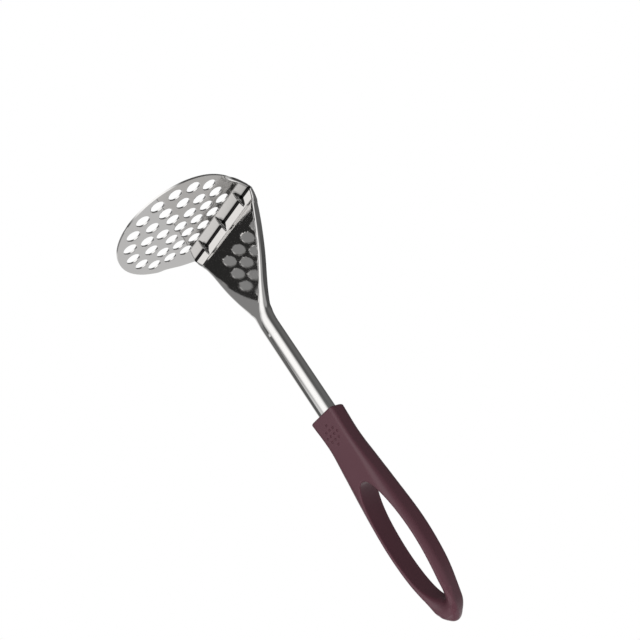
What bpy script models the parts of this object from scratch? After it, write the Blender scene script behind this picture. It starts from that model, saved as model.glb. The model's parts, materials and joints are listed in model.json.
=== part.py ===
"""Potato masher: a pressed steel head on a tube stem, with a moulded loop handle.

The masher stands on its perforated plate with the handle up. +Z is up, the open side of
the bend faces -Y, and the origin is under the middle of the whole object.
"""
import math

import bmesh
import bpy
from mathutils import Matrix, Vector

MM = 0.001
NAME = "potato_masher"
CLEARANCE = 0.3 * MM        # gap between pieces that touch on the real masher

# Sheet steel
SHEET = 1.2 * MM
PLATE_RADIUS = 44.6 * MM
PLATE_TIP = math.radians(3.0)       # half of the arc that the plate's front edge leaves flat
BEND_DISTANCE = 40.4 * MM   # from the plate's centre to the inside corner of the bend
BEND_HALF_WIDTH = 36.4 * MM
BEND_RADIUS = 1.5 * MM      # on the inside of the bend
BEND_ANGLE = math.radians(67.0)     # between the plate and the fan

# Holes: rows near the bend, then rings round the plate's centre
PLATE_RIM = 4.1 * MM        # solid metal outside the last ring of holes
HOLE_RADIUS = 4.5 * MM
HOLE_LAND = 2.0 * MM        # least metal between the holes of a row
RING_HOLES = {1: (-30, 30), 2: (-60, -30, 0, 30, 60), 3: (-70, -50, -30, -10, 10, 30, 50, 70)}
FIRST_RING = 1.08           # in hole pitches
HOLE_SIDES = 18

# Stem
TUBE_RADIUS = 6.0 * MM
TUBE_WALL = 0.8 * MM
BARE_TUBE = 70.4 * MM       # from the neck's corner to the handle
TUBE_IN_HANDLE = 34.0 * MM

# Fan: half width against the share of its length, from the bend to the neck's corner
FAN_LENGTH = 87.7 * MM
FAN_OUTLINE = (
    (0.0, BEND_HALF_WIDTH),
    (0.05, 35.4 * MM),
    (0.16, 31.3 * MM),
    (0.515, 20.8 * MM),
    (0.865, 8.3 * MM),
    (1.0, TUBE_RADIUS),
)
NECK_ANGLE = math.radians(17.0)     # how far the neck leans back from the fan
NECK_RADIUS = 30.0 * MM
NECK_SLEEVE = 12.0 * MM     # straight rolled sleeve between the neck and the weld

# Turned edge of the sheet, also against shares of the fan's length
EDGE_RADIUS = 2.4 * MM      # on the fan
TIGHT_RADIUS = 1.4 * MM     # on the plate and the bend
EDGE_GROWTH = 0.2           # share of the fan over which the one turns into the other
EDGE_FADE = (6.0 * MM, 30.0 * MM)   # where the plate's edge starts and ends turning down
LEAST_TURN = math.radians(0.05)     # of an edge that is all but flat
FLANGE_AT_BEND = 0.3 * MM   # straight part of the turned edge, past its rounded corner
FLANGE_ON_FAN = ((0.0, FLANGE_AT_BEND), (0.14, 1.6 * MM), (0.73, 2.7 * MM))
FREE_EDGE = 0.3 * MM        # last strip of the turned edge, which rolls up in the neck
ROLL_START = 0.87           # where the edges start to roll together
SEAM_ANGLE = math.radians(6.0)      # half of the open seam at the sleeve's back
ROUNDING_SPAN = (0.68, 1.0)         # where the fan's section turns round
MIN_FLAT = 0.6 * MM
WIDEST_CORNER = 0.9         # largest share of a half width that a rounded corner takes
WIDEST_OPEN_CORNER = 0.6    # the same, where the edge isn't turned all the way down

# Pressed ribs across the bend
RIB_SPACING = 23.0 * MM
RIB_HALF_WIDTH = 2.6 * MM
RIB_ON_PLATE = 3.6 * MM
RIB_ON_FAN = 7.6 * MM
RIB_WALL = 2.0 * MM         # from crest to crest, front to back

# Handle: sizes against the share of its length, from its front end
HANDLE_LENGTH = 129.4 * MM
HANDLE_TIP = 9.0 * MM       # length of the rounded tip
FERRULE_COVER = 2.3 * MM    # plastic over the tube, in front and behind
FERRULE_SIDE = 3.0 * MM     # plastic beside the tube
FERRULE_FLARE = 0.9 * MM    # how much wider the front end is than the waist behind it
HANDLE_HALF_WIDTH = (
    (0.0, TUBE_RADIUS + FERRULE_SIDE + FERRULE_FLARE),
    (0.147, TUBE_RADIUS + FERRULE_SIDE),
    (0.283, 10.4 * MM),
    (0.422, 12.0 * MM),
    (0.603, 13.2 * MM),
    (0.711, 12.9 * MM),
    (0.804, 11.7 * MM),
    (0.896, 9.0 * MM),
    (1.0, 5.4 * MM),
)
HANDLE_HALF_DEPTH = (
    (0.0, TUBE_RADIUS + FERRULE_COVER),
    (0.155, TUBE_RADIUS + FERRULE_COVER),
    (0.422, 9.3 * MM),
    (0.607, 9.0 * MM),
    (0.773, 8.2 * MM),
    (1.0, 6.2 * MM),
)
HANDLE_CENTRE = (           # of its depth, in front of the tube's axis
    (0.0, 0.0),
    (0.155, -0.2 * MM),
    (0.278, 0.4 * MM),
    (0.422, 1.6 * MM),
    (0.607, 3.1 * MM),
    (0.742, 4.0 * MM),
    (1.0, 5.4 * MM),
)
SHOULDER_RADIUS = 2.4 * MM  # between the front face and the sides
SHOULDER_LIMIT = 0.6        # largest share of the half width or depth that a shoulder takes
BACK_LIMIT = 0.9
BACK_RADIUS = (             # between the back face and the sides
    (0.0, 7.6 * MM),
    (0.386, 8.0 * MM),
    (0.603, 5.2 * MM),
    (1.0, 4.0 * MM),
)
HANDLE_ROUNDING = 1.0 * MM
LOOP_WIDTH = 19.6 * MM
LOOP_FRONT_WALL = 8.5 * MM  # between the tube's bore and the loop
LOOP_TIP_WALL = 12.0 * MM   # between the loop and the handle's end

# Hidden fixings
PLUG_SHANK = 8.0 * MM
PLUG_HEAD = 1.6 * MM
PIN_RADIUS = 1.5 * MM
PIN_GRIP = 1.7 * MM         # of the pin in the plastic, on each side of the tube
PIN_FROM_END = 16.0 * MM    # from the handle's front end

# Fineness of the surfaces
TUBE_SIDES = 32
PIN_SIDES = 16
LOOP_SIDES = 40
ARC_STEPS = 4
FRONT_RINGS = 12            # across the plate, in front of its centre
BACK_RINGS = 9              # across the plate, behind its centre
BEND_RINGS = 5
FAN_RINGS = 14
NECK_RINGS = 5
HANDLE_RINGS = 18
TIP_RINGS = 6
TIP_END = math.radians(85.0)
MERGE = 0.01 * MM
OVERCUT = 5.0 * MM          # how far a cutter starts outside the piece that it cuts


def through(points, at):
    """Value at a place on the smooth curve through the points, level at both ends."""
    last = len(points) - 1
    if at <= points[0][0]:
        return points[0][1]
    if at >= points[last][0]:
        return points[last][1]
    slopes = [slope_at(points, index) for index in range(last + 1)]
    index = max(i for i in range(last) if points[i][0] <= at)
    (x0, y0), (x1, y1) = points[index], points[index + 1]
    span = x1 - x0
    t = (at - x0) / span
    rise = (1 + 2 * t) * (1 - t) ** 2 * y0 + t * t * (3 - 2 * t) * y1
    return rise + span * t * (1 - t) * ((1 - t) * slopes[index] - t * slopes[index + 1])


def slope_at(points, index):
    """Slope of the smooth curve at one of its points."""
    low = max(index - 1, 0)
    high = min(index + 1, len(points) - 1)
    return (points[high][1] - points[low][1]) / (points[high][0] - points[low][0])


def ease(start, end, at):
    """0 before start, 1 after end, and an even turn between them."""
    t = min(max((at - start) / (end - start), 0.0), 1.0)
    return t * t * (3 - 2 * t)


def mix(low, high, share):
    return low + (high - low) * share


# ---------------------------------------------------------------- Blender helpers

def clear_scene():
    for thing in list(bpy.data.objects):
        bpy.data.objects.remove(thing, do_unlink=True)


def new_collection(name):
    made = bpy.data.collections.new(name)
    bpy.context.scene.collection.children.link(made)
    return made


def new_object(name, bm, collection):
    """Object from a bmesh, which is used up."""
    mesh = bpy.data.meshes.new(name)
    bm.to_mesh(mesh)
    bm.free()
    thing = bpy.data.objects.new(name, mesh)
    collection.objects.link(thing)
    return thing


def shade(thing, angle=35.0):
    thing.data.shade_smooth()
    thing.data.set_sharp_from_angle(angle=math.radians(angle))


def make_cutter(thing):
    thing.hide_render = True
    thing.display_type = "WIRE"
    return thing


def combine(thing, other, operation):
    step = thing.modifiers.new(operation.title(), "BOOLEAN")
    step.operation = operation
    step.solver = "EXACT"
    step.object = other


def material(name, colour, roughness, metallic):
    made = bpy.data.materials.new(name)
    made.use_nodes = True
    shader = made.node_tree.nodes["Principled BSDF"]
    shader.inputs["Base Color"].default_value = (*colour, 1.0)
    shader.inputs["Roughness"].default_value = roughness
    shader.inputs["Metallic"].default_value = metallic
    return made


def loft(rings, closed_rings, capped):
    """Surface through rings of points that all have the same number of points."""
    bm = bmesh.new()
    rows = [[bm.verts.new(point) for point in ring] for ring in rings]
    count = len(rows[0])
    for low, high in zip(rows, rows[1:]):
        for i in range(count if closed_rings else count - 1):
            j = (i + 1) % count
            bm.faces.new((low[i], low[j], high[j], high[i]))
    if capped:
        bm.faces.new(list(reversed(rows[0])))
        bm.faces.new(rows[-1])
    return bm


def rod(radius, low, high, along, sides=TUBE_SIDES):
    """Closed cylinder along an axis given by its matrix, between two heights."""
    bm = bmesh.new()
    bmesh.ops.create_cone(
        bm, cap_ends=True, segments=sides, radius1=radius, radius2=radius, depth=high - low)
    shift = Matrix.Translation((0, 0, (low + high) / 2))
    bmesh.ops.transform(bm, matrix=along @ shift, verts=bm.verts)
    return bm


def turned(name, profile, along, collection):
    """Solid of revolution: profile points (radius, height), outer side top to bottom."""
    bm = bmesh.new()
    verts = [bm.verts.new((radius, 0, height)) for radius, height in profile]
    for i in range(len(verts)):
        bm.edges.new((verts[i], verts[(i + 1) % len(verts)]))
    thing = new_object(name, bm, collection)
    thing.matrix_world = along
    spin = thing.modifiers.new("Screw", "SCREW")
    spin.axis = "Z"
    spin.steps = TUBE_SIDES
    spin.render_steps = TUBE_SIDES
    spin.use_merge_vertices = True
    spin.merge_threshold = MERGE
    return thing


# ---------------------------------------------------------------- places

def plate_half_width(y):
    """Half width of the plate at a distance behind its centre, up to the bend."""
    if y <= 0:
        return math.sqrt(max(PLATE_RADIUS ** 2 - y * y, 0.0))
    swell = math.cos(math.pi / 2 * min(y / BEND_DISTANCE, 1.0))
    return BEND_HALF_WIDTH + (PLATE_RADIUS - BEND_HALF_WIDTH) * swell


def bend_tangent():
    """From the bend's inside corner to where the sheet starts to curve."""
    return BEND_RADIUS / math.tan(BEND_ANGLE / 2)


def neck_tangent():
    return NECK_RADIUS * math.tan(NECK_ANGLE / 2)


def fan_direction():
    return Vector((0, -math.cos(BEND_ANGLE), math.sin(BEND_ANGLE)))


def stem_direction():
    tilt = BEND_ANGLE + NECK_ANGLE
    return Vector((0, -math.cos(tilt), math.sin(tilt)))


def front_of(direction):
    """Unit vector square to a direction in the Y-Z plane, towards the front."""
    return Vector((0, -direction.z, direction.y))


def bend_corner():
    return Vector((0, BEND_DISTANCE, 0))


def neck_corner():
    return bend_corner() + fan_direction() * FAN_LENGTH


def stem_frame(distance):
    """Matrix with Z along the stem and -Y to its front, that far from the neck's corner."""
    along = stem_direction()
    front = front_of(along)
    origin = neck_corner() + along * distance - front * TUBE_RADIUS
    return Matrix((
        (1, 0, 0, 0),
        (0, -front.y, along.y, origin.y),
        (0, -front.z, along.z, origin.z),
        (0, 0, 0, 1),
    ))


# ---------------------------------------------------------------- head

def half_section(half_width, radius, turn, flange, roll):
    """Points (across, depth) from the middle of the sheet to its free edge."""
    corner = min(radius, WIDEST_CORNER * half_width) * math.pi / 2
    if turn < math.pi / 2:
        corner = min(corner, WIDEST_OPEN_CORNER * half_width)
    turn = max(turn, LEAST_TURN)
    bow = corner / turn
    tail = max(roll * TUBE_RADIUS, FREE_EDGE)
    straight = flange if roll else flange + tail
    flat = half_width - bow * math.sin(turn) - straight * math.cos(turn)
    points = [(0.0, 0.0), (flat, 0.0)]
    for i in range(1, ARC_STEPS + 1):
        angle = turn * i / ARC_STEPS
        points.append((flat + bow * math.sin(angle), -bow * (1 - math.cos(angle))))
    x, depth = points[-1]
    x += flange * math.cos(turn)
    depth -= flange * math.sin(turn)
    points.append((x, depth))
    for i in range(ARC_STEPS):
        angle = turn + roll * (i + 0.5) / ARC_STEPS
        x += tail / ARC_STEPS * math.cos(angle)
        depth -= tail / ARC_STEPS * math.sin(angle)
        points.append((x, depth))
    return points


def section_ring(origin, normal, half):
    """Whole row of points across the sheet, from a half section."""
    whole = [(-x, depth) for x, depth in reversed(half[1:])] + half
    return [origin + Vector((x, 0, 0)) + normal * depth for x, depth in whole]


def plate_rings():
    rings = []
    up = Vector((0, 0, 1))
    last = BEND_DISTANCE - bend_tangent()
    front = [-PLATE_RADIUS * math.cos(mix(PLATE_TIP, math.pi / 2, step / (FRONT_RINGS - 1)))
             for step in range(FRONT_RINGS)]
    back = [last * step / BACK_RINGS for step in range(1, BACK_RINGS + 1)]
    for y in front + back:
        width = plate_half_width(y)
        turn = math.pi / 2 * ease(*EDGE_FADE, y)
        rings.append(section_ring(Vector((0, y, 0)), up, half_section(
            width, TIGHT_RADIUS, turn, FLANGE_AT_BEND, 0.0)))
    return rings


def bend_rings():
    rings = []
    sweep = math.pi - BEND_ANGLE
    centre = Vector((0, BEND_DISTANCE - bend_tangent(), BEND_RADIUS))
    for step in range(1, BEND_RINGS + 1):
        angle = sweep * step / (BEND_RINGS + 1)
        normal = Vector((0, -math.sin(angle), math.cos(angle)))
        rings.append(section_ring(centre - normal * BEND_RADIUS, normal, half_section(
            BEND_HALF_WIDTH, TIGHT_RADIUS, math.pi / 2, FLANGE_AT_BEND, 0.0)))
    return rings


def neck_half_section(distance):
    """Half section of the fan or neck at a distance from the bend along the sheet."""
    share = distance / FAN_LENGTH
    width = through(FAN_OUTLINE, share)
    rounding = ease(*ROUNDING_SPAN, share)
    edge = mix(TIGHT_RADIUS, EDGE_RADIUS, ease(0.0, EDGE_GROWTH, share))
    radius = min(mix(edge, TUBE_RADIUS - MIN_FLAT, rounding), width - MIN_FLAT)
    flange = mix(through(FLANGE_ON_FAN, share), MIN_FLAT, rounding)
    rolled_at = 1 + neck_tangent() / FAN_LENGTH
    roll = (math.pi / 2 - SEAM_ANGLE) * ease(ROLL_START, rolled_at, share)
    return half_section(width, radius, math.pi / 2, flange, roll)


def fan_rings():
    rings = []
    along = fan_direction()
    start = bend_tangent()
    end = FAN_LENGTH - neck_tangent()
    for step in range(FAN_RINGS + 1):
        distance = mix(start, end, step / FAN_RINGS)
        rings.append(section_ring(bend_corner() + along * distance, front_of(along),
                                  neck_half_section(distance)))
    return rings


def neck_rings():
    rings = []
    start = neck_corner() - fan_direction() * neck_tangent()
    centre = start - front_of(fan_direction()) * NECK_RADIUS
    for step in range(1, NECK_RINGS + 1):
        angle = NECK_ANGLE * step / NECK_RINGS
        tilt = BEND_ANGLE + angle
        normal = Vector((0, -math.sin(tilt), -math.cos(tilt)))
        distance = FAN_LENGTH - neck_tangent() + NECK_RADIUS * angle
        rings.append(section_ring(centre + normal * NECK_RADIUS, normal,
                                  neck_half_section(distance)))
    along = stem_direction()
    for share in (0.5, 1.0):
        distance = mix(neck_tangent(), NECK_SLEEVE, share)
        rings.append(section_ring(neck_corner() + along * distance, front_of(along),
                                  neck_half_section(FAN_LENGTH + distance)))
    return rings


def hole_rings():
    """As many rings as the plate's radius holds, with metal left between their holes."""
    room = PLATE_RADIUS - PLATE_RIM - HOLE_RADIUS
    return min(int(room / (2 * HOLE_RADIUS + HOLE_LAND)), max(RING_HOLES))


def hole_pitch():
    return (PLATE_RADIUS - PLATE_RIM - HOLE_RADIUS) / hole_rings()


def hole_centres():
    """Holes as places on the plate, measured from its centre with the bend at +Y."""
    pitch = hole_pitch()
    row = pitch * math.sqrt(3) / 2
    places = []
    for number in (2, 1, 0):
        last = hole_rings() - number / 2
        places += [((step - last) * pitch, number * row) for step in range(round(2 * last) + 1)]
    for ring in range(1, hole_rings() + 1):
        radius = pitch * (FIRST_RING if ring == 1 else ring)
        for angle in map(math.radians, RING_HOLES[ring]):
            places.append((radius * math.sin(angle), -radius * math.cos(angle)))
    return places


def hole_cutters(collection):
    bm = bmesh.new()
    for x, y in hole_centres():
        bmesh.ops.create_cone(
            bm, cap_ends=True, segments=HOLE_SIDES, radius1=HOLE_RADIUS, radius2=HOLE_RADIUS,
            depth=4 * SHEET, matrix=Matrix.Translation((x, y, -SHEET / 2)))
    return make_cutter(new_object("hole_punches", bm, collection))


def rib_body(name, x, outward, reach, collection):
    """Four-cornered rib across the bend, moved out of the corner and drawn out behind."""
    out = -(Vector((0, -1, 0)) + fan_direction()).normalized()
    shift = Vector((x, 0, 0)) + out * outward
    corner = bend_corner() + shift
    plate_end = corner + Vector((0, -RIB_ON_PLATE, 0))
    fan_end = corner + fan_direction() * RIB_ON_FAN
    side = Vector((RIB_HALF_WIDTH, 0, 0))
    points = [plate_end, fan_end, corner - side, corner + side]
    points += [point + out * reach for point in points]
    bm = bmesh.new()
    verts = [bm.verts.new(point) for point in points]
    hull = bmesh.ops.convex_hull(bm, input=verts)
    spare = [item for item in hull["geom_interior"] if isinstance(item, bmesh.types.BMVert)]
    bmesh.ops.delete(bm, geom=spare, context="VERTS")
    bmesh.ops.recalc_face_normals(bm, faces=bm.faces)
    return make_cutter(new_object(name, bm, collection))


def make_head(parts, cutters):
    rings = plate_rings() + bend_rings() + fan_rings() + neck_rings()
    head = new_object("masher_head", loft(rings, closed_rings=False, capped=False), parts)
    skin = head.modifiers.new("Solidify", "SOLIDIFY")
    skin.thickness = SHEET
    skin.offset = -1.0
    skin.use_even_offset = True
    combine(head, hole_cutters(cutters), "DIFFERENCE")
    for index in (-1, 0, 1):
        x = index * RIB_SPACING
        combine(head, rib_body(f"rib_{index + 2}", x, 0.0, SHEET / 2, cutters), "UNION")
        combine(head, rib_body(f"groove_{index + 2}", x, RIB_WALL, 3 * SHEET, cutters),
                "DIFFERENCE")
    shade(head)
    head.data.materials.append(material("polished_steel", (0.62, 0.62, 0.61), 0.08, 1.0))
    return head


# ---------------------------------------------------------------- stem and fixings

def pin_frame():
    """Matrix with Z along the pin, at its middle on the stem's axis."""
    return stem_frame(BARE_TUBE + PIN_FROM_END) @ Matrix.Rotation(math.pi / 2, 4, "Y")


def make_tube(parts, cutters):
    start = NECK_SLEEVE + CLEARANCE
    length = BARE_TUBE + TUBE_IN_HANDLE - start
    inner = TUBE_RADIUS - TUBE_WALL
    profile = ((TUBE_RADIUS, length), (TUBE_RADIUS, 0), (inner, 0), (inner, length))
    tube = turned("stem_tube", profile, stem_frame(start), parts)
    reach = 2 * TUBE_RADIUS
    drill = new_object("pin_drill", rod(PIN_RADIUS + CLEARANCE, -reach, reach, pin_frame()),
                       cutters)
    combine(tube, make_cutter(drill), "DIFFERENCE")
    tube.data.materials.append(material("bright_tube", (0.64, 0.64, 0.63), 0.1, 1.0))
    return tube


def make_plug(parts):
    """Stopper that closes the tube's end inside the handle."""
    shank = TUBE_RADIUS - TUBE_WALL - CLEARANCE
    bottom = -PLUG_SHANK
    top = CLEARANCE + PLUG_HEAD
    profile = ((0, top), (TUBE_RADIUS, top), (TUBE_RADIUS, CLEARANCE), (shank, CLEARANCE),
               (shank, bottom), (0, bottom))
    plug = turned("tube_plug", profile, stem_frame(BARE_TUBE + TUBE_IN_HANDLE), parts)
    plug.data.materials.append(material("plug_nylon", (0.75, 0.73, 0.68), 0.5, 0.0))
    return plug


def make_pin(parts):
    half = TUBE_RADIUS + PIN_GRIP
    pin = new_object("anchor_pin", rod(PIN_RADIUS, -half, half, pin_frame(), PIN_SIDES), parts)
    shade(pin)
    pin.data.materials.append(material("pin_steel", (0.55, 0.55, 0.55), 0.3, 1.0))
    return pin


# ---------------------------------------------------------------- handle

def handle_size(along):
    """Half width, half depth, centre and back radius at a distance from the front end."""
    share = along / HANDLE_LENGTH
    width = through(HANDLE_HALF_WIDTH, share)
    depth = through(HANDLE_HALF_DEPTH, share)
    into_tip = (along - HANDLE_LENGTH + HANDLE_TIP) / HANDLE_TIP
    if into_tip > 0:
        width *= math.sqrt(1 - into_tip * into_tip)
        depth *= math.sqrt(1 - into_tip * into_tip)
    return width, depth, through(HANDLE_CENTRE, share), through(BACK_RADIUS, share)


def handle_ring(along, inset):
    """Closed row of points round the handle: flat front, tight shoulders, round back."""
    width, depth, centre, back = handle_size(along)
    width -= inset
    depth -= inset
    tight = min(SHOULDER_RADIUS, SHOULDER_LIMIT * width, SHOULDER_LIMIT * depth)
    back = min(back, BACK_LIMIT * width, 2 * depth - tight)
    corners = (
        (width - back, centre - depth + back, back, -90.0),
        (width - tight, centre + depth - tight, tight, 0.0),
        (tight - width, centre + depth - tight, tight, 90.0),
        (back - width, centre - depth + back, back, 180.0),
    )
    points = []
    for x, front, radius, start in corners:
        for step in range(ARC_STEPS + 1):
            angle = math.radians(start + 90.0 * step / ARC_STEPS)
            points.append(Vector((x + radius * math.cos(angle),
                                  -(front + radius * math.sin(angle)), along)))
    return points


def handle_stations():
    """Pairs of distance from the front end and inset, closer where the handle turns."""
    pairs = [(0.0, HANDLE_ROUNDING), (0.3 * HANDLE_ROUNDING, 0.3 * HANDLE_ROUNDING),
             (HANDLE_ROUNDING, 0.0)]
    tip = HANDLE_LENGTH - HANDLE_TIP
    pairs += [(mix(HANDLE_ROUNDING, tip, step / HANDLE_RINGS), 0.0)
              for step in range(1, HANDLE_RINGS + 1)]
    pairs += [(tip + HANDLE_TIP * math.sin(TIP_END * step / TIP_RINGS), 0.0)
              for step in range(1, TIP_RINGS + 1)]
    return pairs


def bore_depth():
    """From the handle's front end to the bottom of the tube's bore, behind the plug."""
    return TUBE_IN_HANDLE + CLEARANCE + PLUG_HEAD + CLEARANCE


def loop_cutter(frame, collection):
    """Long oval punch from front to back through the handle."""
    start = bore_depth() + LOOP_FRONT_WALL
    end = HANDLE_LENGTH - LOOP_TIP_WALL
    middle = (start + end) / 2
    deepest = max(depth for _, depth in HANDLE_HALF_DEPTH)
    furthest = max(centre for _, centre in HANDLE_CENTRE)
    reach = deepest + furthest + OVERCUT
    rings = []
    for y in (-reach, reach):
        ring = []
        for step in range(LOOP_SIDES):
            angle = 2 * math.pi * step / LOOP_SIDES
            ring.append(Vector((LOOP_WIDTH / 2 * math.cos(angle), y,
                                middle + (end - start) / 2 * math.sin(angle))))
        rings.append(ring)
    bm = loft(rings, closed_rings=True, capped=True)
    bmesh.ops.recalc_face_normals(bm, faces=bm.faces)
    cutter = new_object("loop_punch", bm, collection)
    cutter.matrix_world = frame
    return make_cutter(cutter)


def make_handle(parts, cutters):
    frame = stem_frame(BARE_TUBE)
    rings = [handle_ring(*pair) for pair in handle_stations()]
    bm = loft(rings, closed_rings=True, capped=True)
    bmesh.ops.recalc_face_normals(bm, faces=bm.faces)
    handle = new_object("loop_handle", bm, parts)
    handle.matrix_world = frame
    combine(handle, loop_cutter(frame, cutters), "DIFFERENCE")
    bore = new_object("tube_bore", rod(TUBE_RADIUS + CLEARANCE, -OVERCUT, bore_depth(), frame),
                      cutters)
    combine(handle, make_cutter(bore), "DIFFERENCE")
    half = TUBE_RADIUS + PIN_GRIP + CLEARANCE
    pocket = new_object("pin_pocket", rod(PIN_RADIUS + CLEARANCE, -half, half, pin_frame(),
                                          PIN_SIDES), cutters)
    combine(handle, make_cutter(pocket), "DIFFERENCE")
    shade(handle)
    handle.data.materials.append(material("plum_plastic", (0.13, 0.062, 0.072), 0.55, 0.0))
    return handle


# ---------------------------------------------------------------- whole masher

def lowest_edge():
    """How far the plate's turning edge reaches down, whether tilted or fully turned."""
    depths = []
    for step in range(1, 91):
        turn = math.radians(step)
        bow = TIGHT_RADIUS * math.pi / 2 / turn
        flange = (FLANGE_AT_BEND + FREE_EDGE) * math.sin(turn)
        depths.append(bow * (1 - math.cos(turn)) + flange + SHEET * math.cos(turn))
    return max(depths)


def object_origin():
    """Bottom middle of the whole object, in the plate's own coordinates."""
    turned_edge = TIGHT_RADIUS + FLANGE_AT_BEND + FREE_EDGE
    front = -PLATE_RADIUS * math.cos(PLATE_TIP)
    back = BEND_DISTANCE - bend_tangent() + BEND_RADIUS + turned_edge
    return Vector((0, (front + back) / 2, -lowest_edge()))


def main():
    clear_scene()
    parts = new_collection(NAME)
    cutters = new_collection(NAME + "_cutters")
    pieces = [
        make_head(parts, cutters),
        make_tube(parts, cutters),
        make_plug(parts),
        make_pin(parts),
        make_handle(parts, cutters),
    ]
    base = bpy.data.objects.new("masher_base", None)
    bpy.context.scene.collection.objects.link(base)
    base.location = -object_origin()
    for thing in pieces + list(cutters.objects):
        thing.parent = base


main()
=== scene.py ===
"""Looks of a hand masher: polished perforated head, bright tube stem and plum loop handle.

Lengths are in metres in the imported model's own frame: +Z up, the open side of the bend
towards -Y, and the plate's middle plane at X = 0.
"""
import json
import math

import bmesh
import bpy
from mathutils import Matrix, Vector


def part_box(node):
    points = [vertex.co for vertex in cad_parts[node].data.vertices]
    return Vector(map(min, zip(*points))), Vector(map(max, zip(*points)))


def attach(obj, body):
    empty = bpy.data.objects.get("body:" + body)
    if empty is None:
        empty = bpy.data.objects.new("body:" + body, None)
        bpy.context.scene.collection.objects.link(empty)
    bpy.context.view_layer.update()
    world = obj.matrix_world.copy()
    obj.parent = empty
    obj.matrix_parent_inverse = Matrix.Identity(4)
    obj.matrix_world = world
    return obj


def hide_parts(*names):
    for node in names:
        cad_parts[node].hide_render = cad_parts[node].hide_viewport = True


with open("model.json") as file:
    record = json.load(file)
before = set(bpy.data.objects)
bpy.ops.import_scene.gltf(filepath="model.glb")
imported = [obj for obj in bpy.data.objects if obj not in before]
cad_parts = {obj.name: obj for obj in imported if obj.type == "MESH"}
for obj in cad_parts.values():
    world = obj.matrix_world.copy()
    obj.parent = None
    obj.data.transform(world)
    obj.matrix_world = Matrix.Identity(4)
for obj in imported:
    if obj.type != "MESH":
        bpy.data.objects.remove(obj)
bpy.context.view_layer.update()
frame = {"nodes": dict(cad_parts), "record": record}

MM = 0.001

# Sheet metal
SHEET = 1.2 * MM
PLATE_RADIUS = 44.6 * MM
PLATE_TIP = math.radians(3.0)       # half of the arc that the plate's front edge leaves flat
BEND_DISTANCE = 40.4 * MM   # from the plate's centre to the sharp corner of the bend
BEND_HALF_WIDTH = 36.4 * MM
BEND_ANGLE = math.radians(67.0)     # between the plate and the fan
CREASE_RADIUS = 0.8 * MM    # tight part of the bend, next to the plate
BEND_STRETCHES = (          # length and turn of the rest, from the crease up to the fan
    (1.0 * MM, math.radians(5.0)),
    (5.4 * MM, math.radians(2.0)),
    (0.8 * MM, math.radians(18.0)),
    (2.2 * MM, 0.0),
    (1.0 * MM, math.radians(-10.0)),
)
CREASE_TURN = math.pi - BEND_ANGLE - sum(turn for _, turn in BEND_STRETCHES)
RIM_RADIUS = 0.2 * MM       # worn-off corner of every cut edge

# Holes: rows near the bend, then rings round the plate's centre
PLATE_RIM = 4.1 * MM
HOLE_RADIUS = 4.5 * MM
RING_HOLES = {1: (-30, 30), 2: (-60, -30, 0, 30, 60), 3: (-70, -50, -30, -10, 10, 30, 50, 70)}
FIRST_RING = 1.08           # in hole pitches
HOLE_PITCH = (PLATE_RADIUS - PLATE_RIM - HOLE_RADIUS) / max(RING_HOLES)

# Stem
TUBE_RADIUS = 6.0 * MM
TUBE_WALL = 0.8 * MM
BARE_TUBE = 70.4 * MM       # from the neck's corner to the handle
TUBE_IN_HANDLE = 34.0 * MM
WELD_GAP = 0.02 * MM

# Fan: half width against the share of its length, from the bend to the neck's corner
FAN_LENGTH = 87.7 * MM
FAN_OUTLINE = (
    (0.0, BEND_HALF_WIDTH),
    (0.05, 35.4 * MM),
    (0.16, 31.4 * MM),
    (0.515, 20.9 * MM),
    (0.865, 8.3 * MM),
    (1.0, TUBE_RADIUS),
)
NECK_ANGLE = math.radians(17.0)
NECK_RADIUS = 30.0 * MM
NECK_SLEEVE = 12.0 * MM

# Turned edge of the sheet, also against shares of the fan's length
EDGE_RADIUS = 2.4 * MM      # on the fan
TIGHT_RADIUS = 1.4 * MM     # on the plate and the bend
OFF_CENTRE = (              # how far the outline lies to one side of the holes and ribs
    (-PLATE_RADIUS, 0.4 * MM),
    (0.0, 0.5 * MM),
    (BEND_DISTANCE, 1.5 * MM),
    (BEND_DISTANCE + 0.15 * FAN_LENGTH, 0.4 * MM),
    (BEND_DISTANCE + 0.3 * FAN_LENGTH, -0.2 * MM),
    (BEND_DISTANCE + 0.8 * FAN_LENGTH, 0.1 * MM),
    (BEND_DISTANCE + FAN_LENGTH, 0.0),
)
EDGE_GROWTH = 0.2           # share of the fan over which the tight corner opens out
EDGE_FADE = (6.0 * MM, 30.0 * MM)   # where the plate's edge starts and ends turning down
LEAST_TURN = math.radians(0.05)     # of an edge that is still flat
FLANGE_AT_BEND = 0.3 * MM
FLANGE_ON_FAN = ((0.0, FLANGE_AT_BEND), (0.14, 1.6 * MM), (0.73, 2.7 * MM))
FREE_EDGE = 0.3 * MM        # straight end of the flange
ROLL_START = 0.87           # share where the flanges start rolling into the sleeve
SEAM_ANGLE = math.radians(0.5)      # half of the butted seam along the sleeve
ROUNDING_SPAN = (0.68, 1.0)         # shares over which the corners open to the tube's radius
MIN_FLAT = 0.6 * MM         # least flat part of the sheet and of the flange
WIDEST_CORNER = 0.9         # corner against the half width, at most
WIDEST_OPEN_CORNER = 0.6    # the same where the edge isn't fully turned
CREASE_SHADE_REACH = (0.85 * MM, 1.15 * MM)    # reach of the painted shade line in the bend: full, none

# Pressed ribs across the bend
RIB_PLACES = (-23.0 * MM, 0.0, 23.0 * MM)
RIB_HALF_WIDTH = 2.6 * MM
RIB_ON_PLATE = 3.6 * MM
RIB_ON_FAN = 7.6 * MM
RIB_CREST = 0.45 * MM       # rounding along the crest
RIB_BLEND = 0.18 * MM       # rounding where the rib runs out into the sheet
RIB_NEARNESS = 3 * RIB_ON_FAN       # no part of a rib is further along the sheet than this

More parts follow.
